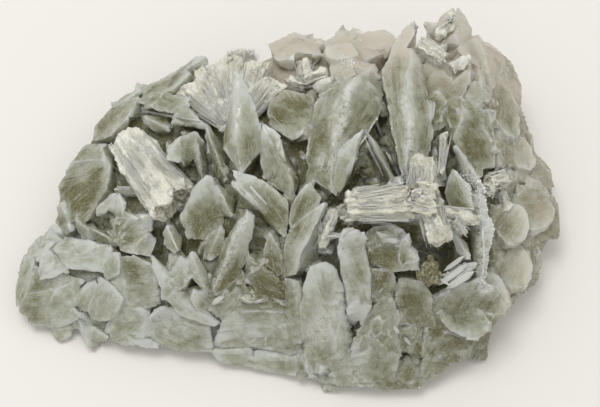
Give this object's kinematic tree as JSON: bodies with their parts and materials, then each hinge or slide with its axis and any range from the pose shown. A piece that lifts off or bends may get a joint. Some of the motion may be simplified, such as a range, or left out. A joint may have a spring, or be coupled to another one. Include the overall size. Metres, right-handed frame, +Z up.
{
  "type": "strontianite on calcite specimen",
  "caption": "Hand-sized cluster of steep olive-grey calcite blades on a flat broken base, with cream fibrous strontianite sheaves and a brown nodule seated between them.",
  "frame": {"origin": "middle of the specimen's box, on the flat broken face that it rests on", "axes": "+X along the length from the low ledge to the rounded lobes, +Y from the front ledge to the high crest, +Z up"},
  "size_m": [0.099, 0.0648, 0.035],
  "materials": {
    "calcite": "translucent, waxy to satin, with paler edges",
    "strontianite": "dull cream white, finely fibrous",
    "nodule": "earthy, rough"
  },
  "bodies": {
    "root": {"calcite": "calcite", "strontianite_fan": "strontianite", "strontianite_left_sheaf": "strontianite", "strontianite_left_stub": "strontianite", "strontianite_top_knobs": "strontianite", "strontianite_small_nub": "strontianite", "strontianite_upper_arm": "strontianite", "strontianite_arm_fragment": "strontianite", "strontianite_crest_crust": "strontianite", "strontianite_main_sheaf": "strontianite", "strontianite_pale_blade": "strontianite", "strontianite_upright_blade": "strontianite", "strontianite_right_sheaf": "strontianite", "brown_nodule": "nodule"}
  },
  "joints": []
}
